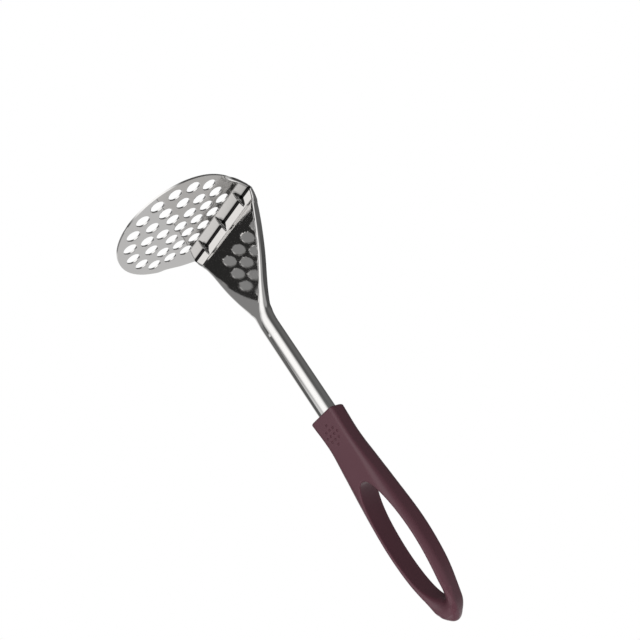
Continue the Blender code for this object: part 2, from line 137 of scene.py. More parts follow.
# Handle: sizes against the share of its length, from its front end
HANDLE_LENGTH = 129.4 * MM
HANDLE_TIP = 9.0 * MM
HANDLE_HALF_WIDTH = (
    (0.0, 9.9 * MM),
    (0.147, 9.0 * MM),
    (0.283, 10.4 * MM),
    (0.422, 12.0 * MM),
    (0.603, 13.2 * MM),
    (0.711, 12.9 * MM),
    (0.804, 11.7 * MM),
    (0.896, 9.0 * MM),
    (1.0, 5.4 * MM),
)
HANDLE_HALF_DEPTH = (
    (0.0, 8.3 * MM),
    (0.155, 8.3 * MM),
    (0.422, 9.3 * MM),
    (0.607, 9.0 * MM),
    (0.773, 8.2 * MM),
    (1.0, 6.2 * MM),
)
HANDLE_CENTRE = (           # of its depth, in front of the tube's axis
    (0.0, 0.0),
    (0.155, -0.2 * MM),
    (0.278, 0.4 * MM),
    (0.422, 1.6 * MM),
    (0.607, 3.1 * MM),
    (0.742, 4.0 * MM),
    (1.0, 5.4 * MM),
)
SHOULDER_RADIUS = (         # of the section's front corners
    (0.0, 2.4 * MM),
    (0.2, 2.8 * MM),
    (0.45, 5.5 * MM),
    (0.85, 5.5 * MM),
    (1.0, 3.0 * MM),
)
SHOULDER_LIMIT = 0.85       # against the half width and half depth, at most
BACK_RADIUS = (             # of its back corners
    (0.0, 7.6 * MM),
    (0.386, 8.0 * MM),
    (0.603, 5.2 * MM),
    (1.0, 4.0 * MM),
)
BACK_LIMIT = 0.9            # against the half width, at most
HANDLE_ROUNDING = 1.0 * MM  # of the front end's rim
BORE_DEPTH = 36.2 * MM
BORE_RADIUS = 6.05 * MM
LOOP_START = 44.7 * MM
LOOP_END = HANDLE_LENGTH - 12.0 * MM
LOOP_WIDTH = 19.6 * MM
LOOP_FRONT_RADIUS = (       # of its rims, from the loop's front end to its far end
    (-1.0, 0.8 * MM),
    (-0.8, 1.2 * MM),
    (0.0, 1.8 * MM),
    (0.7, 2.4 * MM),
    (0.9, 5.5 * MM),
    (1.0, 9.0 * MM),
)
LOOP_BACK_RADIUS = 1.5 * MM
LOOP_OVERCUT = 20 * MM      # of its cutter, past both faces
OVERCUT = 5 * MM            # of the bore's cutter, past the front end

# Dimples on the handle's front face: how many in each row, from the front end
DIMPLE_ROWS = (1, 3, 4, 3, 1)
DIMPLE_START = 6.9 * MM
DIMPLE_ROW_PITCH = 3.15 * MM
DIMPLE_PITCH = 3.0 * MM
DIMPLE_RADIUS = 0.8 * MM
DIMPLE_DEPTH = 0.75 * MM

# Fineness of the surfaces
FINE_STEP = 0.25 * MM       # across the sheet's flat part, at the ribs
COARSE_STEP = 1.2 * MM      # between them
ARC_STEPS = 10
PLATE_RINGS = 50
BEND_STEP = 0.28 * MM
FAN_RINGS = 60
NECK_RINGS = 16
SLEEVE_RINGS = 3
HOLE_SIDES = 96
TUBE_SIDES = 128
HANDLE_RINGS = 120
TIP_RINGS = 16
ROUNDING_STEPS = 8
LOOP_SIDES = 150


# ---------------------------------------------------------------- plain geometry

def slope_at(points, index):
    """Slope of the smooth curve at one of its points."""
    low = max(index - 1, 0)
    high = min(index + 1, len(points) - 1)
    return (points[high][1] - points[low][1]) / (points[high][0] - points[low][0])


def through(points, at):
    """Value at a place on the smooth curve through the points, level at both ends."""
    last = len(points) - 1
    if at <= points[0][0]:
        return points[0][1]
    if at >= points[last][0]:
        return points[last][1]
    slopes = [slope_at(points, index) for index in range(last + 1)]
    index = max(i for i in range(last) if points[i][0] <= at)
    (x0, y0), (x1, y1) = points[index], points[index + 1]
    span = x1 - x0
    t = (at - x0) / span
    rise = (1 + 2 * t) * (1 - t) ** 2 * y0 + t * t * (3 - 2 * t) * y1
    return rise + span * t * (1 - t) * ((1 - t) * slopes[index] - t * slopes[index + 1])


def ease(start, end, at):
    """0 before start, 1 after end, and an even turn between them."""
    t = min(max((at - start) / (end - start), 0.0), 1.0)
    return t * t * (3 - 2 * t)


def mix(low, high, share):
    return low + (high - low) * share


def steps(low, high, count):
    """Evenly spaced values after low, up to high."""
    return [mix(low, high, step / count) for step in range(1, count + 1)]


# ---------------------------------------------------------------- Blender helpers

def new_object(name, bm):
    mesh = bpy.data.meshes.new(name)
    bm.to_mesh(mesh)
    bm.free()
    thing = bpy.data.objects.new(name, mesh)
    bpy.context.scene.collection.objects.link(thing)
    return thing


def loft(rings, closed_rings, capped):
    """Surface through rings of points that all have the same number of points."""
    bm = bmesh.new()
    rows = [[bm.verts.new(point) for point in ring] for ring in rings]
    count = len(rows[0])
    for low, high in zip(rows, rows[1:]):
        for i in range(count if closed_rings else count - 1):
            j = (i + 1) % count
            bm.faces.new((low[i], low[j], high[j], high[i]))
    if capped:
        bm.faces.new(list(reversed(rows[0])))
        bm.faces.new(rows[-1])
    return bm


def turned_mesh(profile, sides, place=None, bm=None):
    """Closed solid of revolution about Z from (radius, height) points, both ends capped."""
    bm = bm or bmesh.new()
    place = place or Matrix.Identity(4)
    rows = []
    for radius, height in profile:
        circle = [2 * math.pi * i / sides for i in range(sides)]
        rows.append([bm.verts.new(place @ Vector((radius * math.cos(a), radius * math.sin(a), height)))
                     for a in circle])
    for low, high in zip(rows, rows[1:]):
        for i in range(sides):
            j = (i + 1) % sides
            bm.faces.new((low[i], low[j], high[j], high[i]))
    bm.faces.new(list(reversed(rows[0])))
    bm.faces.new(rows[-1])
    return bm


def cut(thing, cutter):
    """Boolean difference, applied, and the cutter removed."""
    step = thing.modifiers.new("Cut", "BOOLEAN")
    step.operation = "DIFFERENCE"
    step.solver = "EXACT"
    step.object = cutter
    apply_modifiers(thing)
    bpy.data.objects.remove(cutter, do_unlink=True)


def apply_modifiers(thing):
    """Replaces the mesh by what its modifiers make of it."""
    view = bpy.context.evaluated_depsgraph_get()
    made = bpy.data.meshes.new_from_object(thing.evaluated_get(view), depsgraph=view)
    old = thing.data
    thing.modifiers.clear()
    thing.data = made
    bpy.data.meshes.remove(old)


def soften(thing, width, angle, segments=2):
    """Rounded edges where faces meet at more than the angle."""
    step = thing.modifiers.new("Bevel", "BEVEL")
    step.width = width
    step.segments = segments
    step.limit_method = "ANGLE"
    step.angle_limit = math.radians(angle)
    step.harden_normals = False


def shade(thing, angle):
    """Smooth shading that keeps flat faces flat, sharp only past the angle."""
    thing.data.shade_smooth()
    thing.data.set_sharp_from_angle(angle=math.radians(angle))
    step = thing.modifiers.new("Normals", "WEIGHTED_NORMAL")
    step.keep_sharp = True
    step.weight = 80


def place_piece(thing, node, finish):
    """Makes a finished piece stand for its CAD node."""
    thing.data.materials.clear()
    thing.data.materials.append(finish)
    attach(thing, "root")
    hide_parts(node)
    return thing


# ---------------------------------------------------------------- places in the frame

PLATE_TOP = next(m["pos_m"][2] for m in frame["record"]["mounts"] if m["name"] == "plate_top")
PLATE_CENTRE = Vector((0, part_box("masher_head")[0].y + PLATE_RADIUS * math.cos(PLATE_TIP), PLATE_TOP))
BEND_CORNER = PLATE_CENTRE + Vector((0, BEND_DISTANCE, 0))
TO_FRONT = Vector((0, -1, 0))
UP_FAN = Vector((0, -math.cos(BEND_ANGLE), math.sin(BEND_ANGLE)))
STEM_TILT = BEND_ANGLE + NECK_ANGLE
UP_STEM = Vector((0, -math.cos(STEM_TILT), math.sin(STEM_TILT)))
NECK_CORNER = BEND_CORNER + UP_FAN * FAN_LENGTH


def stem_frame(distance):
    """Matrix with Z along the stem and -Y to its front, that far from the neck's corner."""
    front = Vector((0, -UP_STEM.z, UP_STEM.y))
    origin = NECK_CORNER + UP_STEM * distance - front * TUBE_RADIUS
    return Matrix((
        (1, 0, 0, 0),
        (0, -front.y, UP_STEM.y, origin.y),
        (0, -front.z, UP_STEM.z, origin.z),
        (0, 0, 0, 1),
    ))


# ---------------------------------------------------------------- head

def walk(pieces, at):
    """Point and heading on a line of straight pieces and arcs, each (length, turn)."""
    point = Vector((0, -PLATE_RADIUS, 0)) + PLATE_CENTRE
    heading = 0.0
    for length, turn in pieces:
        part = min(at, length)
        share = turn * part / length
        if abs(share) < 1e-9:
            point = point + Vector((0, math.cos(heading), math.sin(heading))) * part
        else:
            radius = length / turn
            point = point + radius * Vector((0, math.sin(heading + share) - math.sin(heading),
                                             math.cos(heading) - math.cos(heading + share)))
        heading += share
        at -= part
        if at <= 0:
            break
    return point, heading


BEND_PIECES = ((CREASE_RADIUS * CREASE_TURN, CREASE_TURN),) + BEND_STRETCHES


def bend_reach():
    """Where the bend starts, short of the plate's and fan's corner, and ends up the fan."""
    end, _ = walk(BEND_PIECES, 1.0)
    out = end - walk(BEND_PIECES, 0.0)[0]
    up_fan = out.z / math.sin(BEND_ANGLE)
    return out.y + up_fan * math.cos(BEND_ANGLE), up_fan


BEND_START, BEND_FINISH = bend_reach()
NECK_TANGENT = NECK_RADIUS * math.tan(NECK_ANGLE / 2)
LINE = (
    (PLATE_RADIUS + BEND_DISTANCE - BEND_START, 0.0),
) + BEND_PIECES + (
    (FAN_LENGTH - NECK_TANGENT - BEND_FINISH, 0.0),
    (NECK_RADIUS * NECK_ANGLE, -NECK_ANGLE),
    (NECK_SLEEVE - NECK_TANGENT, 0.0),
)
ENDS = [sum(length for length, _ in LINE[:count + 1]) for count in range(len(LINE))]
PLATE_END, CREASE_END = ENDS[:2]
HEEL_END, FAN_END, NECK_END, SLEEVE_END = ENDS[-4:]


def flat_shares():
    """Places across half of the sheet's flat part, as shares of it, closer at the ribs."""
    flat = BEND_HALF_WIDTH - TIGHT_RADIUS
    places = [0.0]
    while places[-1] < flat - COARSE_STEP:
        beside = min(abs(places[-1] + FINE_STEP - place) for place in RIB_PLACES)
        near = beside < RIB_HALF_WIDTH + FINE_STEP
        places.append(places[-1] + (FINE_STEP if near else COARSE_STEP))
    return [place / flat for place in places] + [1.0]


FLAT_SHARES = flat_shares()


def plate_half_width(y):
    """Half of the plate's width, that far behind its centre."""
    if y <= 0:
        return math.sqrt(max(PLATE_RADIUS ** 2 - y * y, 0.0))
    swell = math.cos(math.pi / 2 * min(y / BEND_DISTANCE, 1.0))
    return BEND_HALF_WIDTH + (PLATE_RADIUS - BEND_HALF_WIDTH) * swell


def half_section(half_width, radius, turn, flange, roll):
    """Points (across, depth) from the middle of the sheet to its free edge."""
    corner = min(radius, WIDEST_CORNER * half_width) * math.pi / 2
    if turn < math.pi / 2:
        corner = min(corner, WIDEST_OPEN_CORNER * half_width)
    turn = max(turn, LEAST_TURN)
    bow = corner / turn
    tail = max(roll * TUBE_RADIUS, FREE_EDGE)
    straight = flange if roll else flange + tail
    flat = half_width - bow * math.sin(turn) - straight * math.cos(turn)
    points = [(flat * share, 0.0) for share in FLAT_SHARES]
    for step in range(1, ARC_STEPS + 1):
        angle = turn * step / ARC_STEPS
        points.append((flat + bow * math.sin(angle), -bow * (1 - math.cos(angle))))
    x, depth = points[-1]
    x += flange * math.cos(turn)
    depth -= flange * math.sin(turn)
    points.append((x, depth))
    for step in range(ARC_STEPS):
        angle = turn + roll * (step + 0.5) / ARC_STEPS
        x += tail / ARC_STEPS * math.cos(angle)
        depth -= tail / ARC_STEPS * math.sin(angle)
        points.append((x, depth))
    return points


def round_section(like):
    """Half of the tube's circle, with its points spaced as in another half section."""
    lengths = [0.0]
    for (x0, d0), (x1, d1) in zip(like, like[1:]):
        lengths.append(lengths[-1] + math.hypot(x1 - x0, d1 - d0))
    angles = [(math.pi - SEAM_ANGLE) * length / lengths[-1] for length in lengths]
    return [(TUBE_RADIUS * math.sin(a), -TUBE_RADIUS * (1 - math.cos(a))) for a in angles]


def fan_section(distance):
    """Half section of the fan or neck at a distance from the bend's corner."""
    share = distance / FAN_LENGTH
    width = through(FAN_OUTLINE, share)
    rounding = ease(*ROUNDING_SPAN, share)
    edge = mix(TIGHT_RADIUS, EDGE_RADIUS, ease(0.0, EDGE_GROWTH, share))
    radius = min(mix(edge, TUBE_RADIUS - MIN_FLAT, rounding), width - MIN_FLAT)
    flange = mix(through(FLANGE_ON_FAN, share), MIN_FLAT, rounding)
    to_round = ease(ROLL_START, 1 + NECK_TANGENT / FAN_LENGTH, share)
    roll = (math.pi / 2 - SEAM_ANGLE) * to_round
    section = half_section(width, radius, math.pi / 2, flange, roll)
    ring = round_section(section)
    return [(mix(a[0], b[0], to_round), mix(a[1], b[1], to_round))
            for a, b in zip(section, ring)]


def section_at(at):
    """Half section of the sheet at a distance along the line from the plate's front."""
    if at <= PLATE_END:
        y = at - PLATE_RADIUS
        turn = math.pi / 2 * ease(*EDGE_FADE, y)
        return half_section(plate_half_width(y), TIGHT_RADIUS, turn, FLANGE_AT_BEND, 0.0)
    if at <= CREASE_END:
        return half_section(BEND_HALF_WIDTH, TIGHT_RADIUS, math.pi / 2, FLANGE_AT_BEND, 0.0)
    return fan_section(max(FAN_LENGTH - NECK_TANGENT + at - FAN_END, 0.0))


def rib_rise(x, point):
    """How far a point of the sheet is drawn out of the bend by the ribs."""
    out = point - BEND_CORNER
    up_fan = out.z / math.sin(BEND_ANGLE)
    on_plate = -out.y - up_fan * math.cos(BEND_ANGLE)
    nearest = min(abs(x - place) for place in RIB_PLACES)
    aside = math.hypot(nearest, RIB_CREST) / RIB_HALF_WIDTH
    reach = RIB_ON_PLATE * RIB_ON_FAN / (RIB_ON_PLATE + RIB_ON_FAN)
    rise = (1 - aside - on_plate / RIB_ON_PLATE - up_fan / RIB_ON_FAN) * reach
    return (rise + math.hypot(rise, RIB_BLEND)) / 2


def sheet_ring(at):
    """Row of points across the sheet's front or upper surface."""
    point, heading = walk(LINE, at)
    normal = Vector((0, -math.sin(heading), math.cos(heading)))
    half = section_at(at)
    whole = [(-x, depth) for x, depth in reversed(half[1:])] + half
    near_bend = abs(at - CREASE_END) < RIB_NEARNESS
    aside = through(OFF_CENTRE, at - PLATE_RADIUS)
    ring = []
    for x, depth in whole:
        x += aside
        spot = point + Vector((x, 0, 0)) + normal * depth
        if near_bend:
            fade = 1 - ease(0.0, 0.5 * TIGHT_RADIUS, -depth)
            spot += (TO_FRONT + UP_FAN) * (rib_rise(x, point) * fade)
        ring.append(spot)
    return ring


def sheet_stations():
    """Distances along the head's line, close together at the plate's tip and the bend."""
    first = PLATE_RADIUS * (1 - math.cos(PLATE_TIP))
    around = [PLATE_RADIUS * (1 - math.cos(mix(PLATE_TIP, math.pi / 2, step / PLATE_RINGS)))
              for step in range(1, PLATE_RINGS + 1)]
    near = PLATE_END - 2 * RIB_ON_PLATE
    far = HEEL_END + 2 * RIB_ON_PLATE
    bend_rings = round((far - near) / BEND_STEP)
    crease = steps(PLATE_END, CREASE_END, ARC_STEPS)
    bend = [at for at in steps(near, far, bend_rings)
            if not PLATE_END - 1e-5 < at < CREASE_END + 1e-5]
    plate = steps(PLATE_RADIUS, near, PLATE_RINGS // 2)
    fan = steps(far, FAN_END, FAN_RINGS)
    neck = steps(FAN_END, NECK_END, NECK_RINGS)
    sleeve = steps(NECK_END, SLEEVE_END, SLEEVE_RINGS)
    return [first] + around + plate + sorted(bend + [PLATE_END] + crease) + fan + neck + sleeve


def hole_centres():
    """Holes as places on the plate, measured from its centre with the bend at +Y."""
    row = HOLE_PITCH * math.sqrt(3) / 2
    places = []
    for number in (2, 1, 0):
        last = max(RING_HOLES) - number / 2
        places += [((step - last) * HOLE_PITCH, number * row)
                   for step in range(round(2 * last) + 1)]
    for ring, angles in RING_HOLES.items():
        radius = HOLE_PITCH * (FIRST_RING if ring == 1 else ring)
        for angle in map(math.radians, angles):
            places.append((radius * math.sin(angle), -radius * math.cos(angle)))
    return places


def hole_punches():
    """Cutter for all holes, wider at both faces so that every rim comes out rounded."""
    quarter = [math.pi / 2 * step / 4 for step in range(1, 5)]
    upper = [(HOLE_RADIUS + RIM_RADIUS * (1 - math.cos(a)), -RIM_RADIUS * (1 - math.sin(a)))
             for a in quarter[:-1]]
    upper = [(HOLE_RADIUS, -RIM_RADIUS)] + upper
    slope = (upper[-1][0] - upper[-2][0]) / (upper[-1][1] - upper[-2][1])
    upper.append((upper[-1][0] + slope * 0.5 * RIM_RADIUS, upper[-1][1] + 0.5 * RIM_RADIUS))
    lower = [(radius, -SHEET - height) for radius, height in reversed(upper)]
    bm = bmesh.new()
    for x, y in hole_centres():
        place = Matrix.Translation(PLATE_CENTRE + Vector((x, y, 0)))
        turned_mesh(lower + upper, HOLE_SIDES, place, bm)
    return new_object("hole_punches", bm)


def make_head():
    rings = [sheet_ring(at) for at in sheet_stations()]
    head = new_object("pressed_head", loft(rings, closed_rings=False, capped=False))
    skin = head.modifiers.new("Solidify", "SOLIDIFY")
    skin.thickness = SHEET
    skin.offset = -1.0
    skin.use_even_offset = True
    apply_modifiers(head)
    cut(head, hole_punches())
    soften(head, RIM_RADIUS, 60.0)
    apply_modifiers(head)
    shade(head, 40.0)
    return place_piece(head, "masher_head", polished_steel())


# ---------------------------------------------------------------- stem and fixings

def make_tube():
    start = NECK_SLEEVE + WELD_GAP
    length = BARE_TUBE + TUBE_IN_HANDLE - start
    inner = TUBE_RADIUS - TUBE_WALL
    bm = bmesh.new()
    outline = ((inner, 0.0), (TUBE_RADIUS, 0.0), (TUBE_RADIUS, length), (inner, length))
    rows = []
    for radius, height in outline:
        rows.append([bm.verts.new((radius * math.cos(a), radius * math.sin(a), height))
                     for a in (2 * math.pi * i / TUBE_SIDES for i in range(TUBE_SIDES))])
    for low, high in zip(rows, rows[1:] + rows[:1]):
        for i in range(TUBE_SIDES):
            j = (i + 1) % TUBE_SIDES
            bm.faces.new((low[i], low[j], high[j], high[i]))
    tube = new_object("bright_stem", bm)
    tube.data.transform(stem_frame(start))
    shade(tube, 40.0)
    return place_piece(tube, "stem_tube", bright_tube())


def finish_hidden():
    """The plug and the pin keep their CAD shape, inside the handle."""
    frame["nodes"]["tube_plug"].data.materials.clear()
    frame["nodes"]["tube_plug"].data.materials.append(plug_nylon())
    frame["nodes"]["anchor_pin"].data.materials.clear()
    frame["nodes"]["anchor_pin"].data.materials.append(pin_steel())


# ---------------------------------------------------------------- handle

def handle_size(along):
    """Half width, half depth and centre at a distance from the front end."""
    share = along / HANDLE_LENGTH
    width = through(HANDLE_HALF_WIDTH, share)
    depth = through(HANDLE_HALF_DEPTH, share)
    into_tip = (along - HANDLE_LENGTH + HANDLE_TIP) / HANDLE_TIP
    if into_tip > 0:
        width *= math.sqrt(max(1 - into_tip * into_tip, 0.0))
        depth *= math.sqrt(max(1 - into_tip * into_tip, 0.0))
    return width, depth, through(HANDLE_CENTRE, share)


def handle_radii(along, width, depth):
    """Radii of the section's front and back corners."""
    share = along / HANDLE_LENGTH
    tight = min(through(SHOULDER_RADIUS, share), SHOULDER_LIMIT * width, SHOULDER_LIMIT * depth)
    return tight, min(through(BACK_RADIUS, share), BACK_LIMIT * width, 2 * depth - tight)


def handle_ring(along, inset):
    """Closed row of points round the handle: flat front, tight shoulders, round back."""
    width, depth, centre = handle_size(along)
    width -= inset
    depth -= inset
    tight, back = handle_radii(along, width, depth)
    corners = (                 # centre, radius, where its arc starts, steps to the next
        (width - back, centre - depth + back, back, -90.0, 7),
        (width - tight, centre + depth - tight, tight, 0.0, 14),
        (tight - width, centre + depth - tight, tight, 90.0, 7),
        (back - width, centre - depth + back, back, 180.0, 8),
    )
    ring = []
    for index, (x, front, radius, start, flat_steps) in enumerate(corners):
        arc = []
        for step in range(ARC_STEPS + 1):
            angle = math.radians(start + 90.0 * step / ARC_STEPS)
            arc.append((x + radius * math.cos(angle), front + radius * math.sin(angle)))
        ring += arc
        x, front, radius, start, _ = corners[(index + 1) % 4]
        angle = math.radians(start)
        ahead = (x + radius * math.cos(angle), front + radius * math.sin(angle))
        for step in range(1, flat_steps):
            share = step / flat_steps
            ring.append((mix(arc[-1][0], ahead[0], share), mix(arc[-1][1], ahead[1], share)))
    return [Vector((x, -front, along)) for x, front in ring]


def handle_stations():
    """Pairs of distance from the front end and inset, closer where the handle turns."""
    pairs = [(HANDLE_ROUNDING * (1 - math.cos(angle)), HANDLE_ROUNDING * (1 - math.sin(angle)))
             for angle in (math.pi / 2 * step / ROUNDING_STEPS for step in range(ROUNDING_STEPS + 1))]
    tip = HANDLE_LENGTH - HANDLE_TIP
    pairs += [(at, 0.0) for at in steps(HANDLE_ROUNDING, tip, HANDLE_RINGS)]
    pairs += [(tip + HANDLE_TIP * math.sin(angle), 0.0)
              for angle in steps(0.0, math.radians(88.0), TIP_RINGS)]
    return pairs


def face_level(x, along, front_face):
    """Where the handle's front or back face lies, as its distance in front of the axis."""
    width, depth, centre = handle_size(along)
    tight, back = handle_radii(along, width, depth)
    radius = tight if front_face else back
    into_corner = min(max(abs(x) - (width - radius), 0.0), radius)
    drop = radius - math.sqrt(radius * radius - into_corner * into_corner)
    return centre + depth - drop if front_face else centre - depth + drop


def loop_rings():
    """Rings of the loop's cutter from back to front, flared to round both rims."""
    half = LOOP_WIDTH / 2
    middle = (LOOP_START + LOOP_END) / 2
    reach = (LOOP_END - LOOP_START) / 2
    rim = [math.radians(angle) for angle in (0, 15, 30, 45, 60, 75)]
    rim = [(1 - math.cos(turn), math.sin(turn) - 1, 0.0) for turn in rim]
    run = rim[-1][0] - rim[-2][0]
    rise = rim[-1][1] - rim[-2][1]
    rim.append((rim[-1][0] + 1.2 * run, rim[-1][1] + 1.2 * rise, 0.0))
    rim.append((rim[-1][0] + 0.2 * run, rim[-1][1], LOOP_OVERCUT))
    rings = []
    for front_face, spots in ((False, reversed(rim)), (True, rim)):
        for out, height, above in spots:
            ring = []
            for step in range(LOOP_SIDES):
                angle = 2 * math.pi * step / LOOP_SIDES
                across, along = math.cos(angle), math.sin(angle)
                normal = Vector((across / half, along / reach)).normalized()
                radius = through(LOOP_FRONT_RADIUS, along) if front_face else LOOP_BACK_RADIUS
                x = half * across + normal.x * out * radius
                z = middle + reach * along + normal.y * out * radius
                level = face_level(x, z, front_face)
                over = height * radius + above
                ring.append(Vector((x, -(level + over if front_face else level - over), z)))
            rings.append(ring)
    return rings


def loop_cutter():
    bm = loft(loop_rings(), closed_rings=True, capped=True)
    bmesh.ops.recalc_face_normals(bm, faces=bm.faces)
    return new_object("loop_punch", bm)


def dimple_cutter():
    """Small balls set into the front face in a lozenge of rows."""
    ball = (DIMPLE_RADIUS ** 2 + DIMPLE_DEPTH ** 2) / (2 * DIMPLE_DEPTH)
    bm = bmesh.new()
    for row, count in enumerate(DIMPLE_ROWS):
        z = DIMPLE_START + row * DIMPLE_ROW_PITCH
        for index in range(count):
            x = (index - (count - 1) / 2) * DIMPLE_PITCH
            front = face_level(x, z, True) + ball - DIMPLE_DEPTH
            bmesh.ops.create_icosphere(bm, subdivisions=4, radius=ball,
                                       matrix=Matrix.Translation((x, -front, z)))
    return new_object("dimple_balls", bm)


def make_handle():
    rings = [handle_ring(*pair) for pair in handle_stations()]
    bm = loft(rings, closed_rings=True, capped=True)
    bmesh.ops.recalc_face_normals(bm, faces=bm.faces)
    handle = new_object("plum_handle", bm)
    cut(handle, loop_cutter())
    cut(handle, dimple_cutter())
    bore = turned_mesh(((BORE_RADIUS, -OVERCUT), (BORE_RADIUS, BORE_DEPTH)), TUBE_SIDES)
    cut(handle, new_object("bore_punch", bore))
    handle.data.transform(stem_frame(BARE_TUBE))
    shade(handle, 38.0)
    return place_piece(handle, "loop_handle", plum_plastic())


# ---------------------------------------------------------------- finishes

def new_group(name, inputs, outputs):
    """Shader node group with float, colour or vector sockets."""
    group = bpy.data.node_groups.new(name, "ShaderNodeTree")
    for label, kind, value in inputs:
        socket = group.interface.new_socket(label, in_out="INPUT", socket_type=kind)
        if value is not None:
            socket.default_value = value
    for label, kind in outputs:
        group.interface.new_socket(label, in_out="OUTPUT", socket_type=kind)
    return group, group.nodes.new("NodeGroupInput"), group.nodes.new("NodeGroupOutput")


def add(tree, kind, **settings):
    node = tree.nodes.new(kind)
    for key, value in settings.items():
        setattr(node, key, value)
    return node


def math_node(tree, operation, first, second=None):
    node = add(tree, "ShaderNodeMath", operation=operation)
    for socket, value in zip(node.inputs, (first, second)):
        if value is None:
            continue
        if isinstance(value, (int, float)):
            socket.default_value = value
        else:
            tree.links.new(value, socket)
    return node.outputs[0]


def polish_group():
    """Fine polishing lines and faint wipe marks: how rough the metal is, and its height."""
    group, source, sink = new_group(
        "polish_marks",
        (("Line Direction", "NodeSocketVector", (1.0, 1.0, 1.0)),
         ("Least Roughness", "NodeSocketFloat", 0.05),
         ("Added Roughness", "NodeSocketFloat", 0.06)),
        (("Roughness", "NodeSocketFloat"), ("Height", "NodeSocketFloat")))
    place = add(group, "ShaderNodeNewGeometry").outputs["Position"]
    stretched = add(group, "ShaderNodeVectorMath", operation="MULTIPLY")
    group.links.new(place, stretched.inputs[0])
    group.links.new(source.outputs["Line Direction"], stretched.inputs[1])
    lines = add(group, "ShaderNodeTexNoise")
    lines.inputs["Scale"].default_value = 1.0
    lines.inputs["Detail"].default_value = 3.0
    group.links.new(stretched.outputs[0], lines.inputs["Vector"])
    wipes = add(group, "ShaderNodeTexNoise")
    wipes.inputs["Scale"].default_value = 70.0
    wipes.inputs["Detail"].default_value = 4.0
    wipes.inputs["Distortion"].default_value = 0.6
    group.links.new(place, wipes.inputs["Vector"])
    both = math_node(group, "MULTIPLY", lines.outputs["Fac"], wipes.outputs["Fac"])
    rough = math_node(group, "MULTIPLY", both, source.outputs["Added Roughness"])
    rough = math_node(group, "ADD", rough, source.outputs["Least Roughness"])
    group.links.new(rough, sink.inputs["Roughness"])
    group.links.new(lines.outputs["Fac"], sink.inputs["Height"])
    return group


def steel_finish(name, colour, lines, least, added, bump_distance):
    """Bright steel with polishing lines along one direction."""
    made = bpy.data.materials.new(name)
    made.use_nodes = True
    tree = made.node_tree
    shader = tree.nodes["Principled BSDF"]
    shader.inputs["Base Color"].default_value = (*colour, 1.0)
    shader.inputs["Metallic"].default_value = 1.0
    marks = add(tree, "ShaderNodeGroup", node_tree=POLISH)
    marks.inputs["Line Direction"].default_value = lines
    marks.inputs["Least Roughness"].default_value = least
    marks.inputs["Added Roughness"].default_value = added
    tree.links.new(marks.outputs["Roughness"], shader.inputs["Roughness"])
    bump = add(tree, "ShaderNodeBump")
    bump.inputs["Strength"].default_value = 0.35
    bump.inputs["Distance"].default_value = bump_distance
    tree.links.new(marks.outputs["Height"], bump.inputs["Height"])
    tree.links.new(bump.outputs["Normal"], shader.inputs["Normal"])
    return made


def painted_crease_shade_group():
    """Painted shade along the bottom of the bend: 1 in the line, 0 away from it."""
    group, _, sink = new_group("painted_shade_in_crease", (), (("Amount", "NodeSocketFloat"),))
    place = add(group, "ShaderNodeNewGeometry").outputs["Position"]
    middle = walk(LINE, (PLATE_END + CREASE_END) / 2)[0]
    offset = add(group, "ShaderNodeVectorMath", operation="SUBTRACT")
    group.links.new(place, offset.inputs[0])
    offset.inputs[1].default_value = middle
    flat = add(group, "ShaderNodeVectorMath", operation="MULTIPLY")
    group.links.new(offset.outputs[0], flat.inputs[0])
    flat.inputs[1].default_value = (0.0, 1.0, 1.0)
    far = add(group, "ShaderNodeVectorMath", operation="LENGTH")
    group.links.new(flat.outputs[0], far.inputs[0])
    fade = add(group, "ShaderNodeMapRange", interpolation_type="SMOOTHSTEP")
    group.links.new(far.outputs["Value"], fade.inputs["Value"])
    fade.inputs["From Min"].default_value = CREASE_SHADE_REACH[0]
    fade.inputs["From Max"].default_value = CREASE_SHADE_REACH[1]
    fade.inputs["To Min"].default_value = 1.0
    fade.inputs["To Max"].default_value = 0.0
    group.links.new(fade.outputs["Result"], sink.inputs["Amount"])
    return group


def polished_steel():
    """Mirror-bright sheet, with a painted shade line in the bottom of the bend."""
    colour = (0.68, 0.67, 0.66)
    made = steel_finish("polished_steel", colour, (2200.0, 90.0, 160.0), 0.04, 0.09, 0.004 * MM)
    tree = made.node_tree
    # painted shade: the steel's colour is mixed to near-black along the bend's crease
    line = add(tree, "ShaderNodeGroup", node_tree=painted_crease_shade_group())
    tint = add(tree, "ShaderNodeMix", data_type="RGBA")
    tint.inputs["A"].default_value = (*colour, 1.0)
    tint.inputs["B"].default_value = (0.02, 0.019, 0.019, 1.0)
    tree.links.new(line.outputs["Amount"], tint.inputs["Factor"])
    tree.links.new(tint.outputs["Result"], tree.nodes["Principled BSDF"].inputs["Base Color"])
    return made


def bright_tube():
    return steel_finish("bright_tube", (0.70, 0.69, 0.68), (900.0, 900.0, 40.0), 0.07, 0.12,
                        0.006 * MM)


def pin_steel():
    return steel_finish("pin_steel", (0.55, 0.55, 0.55), (900.0, 900.0, 900.0), 0.25, 0.2, 0.01 * MM)


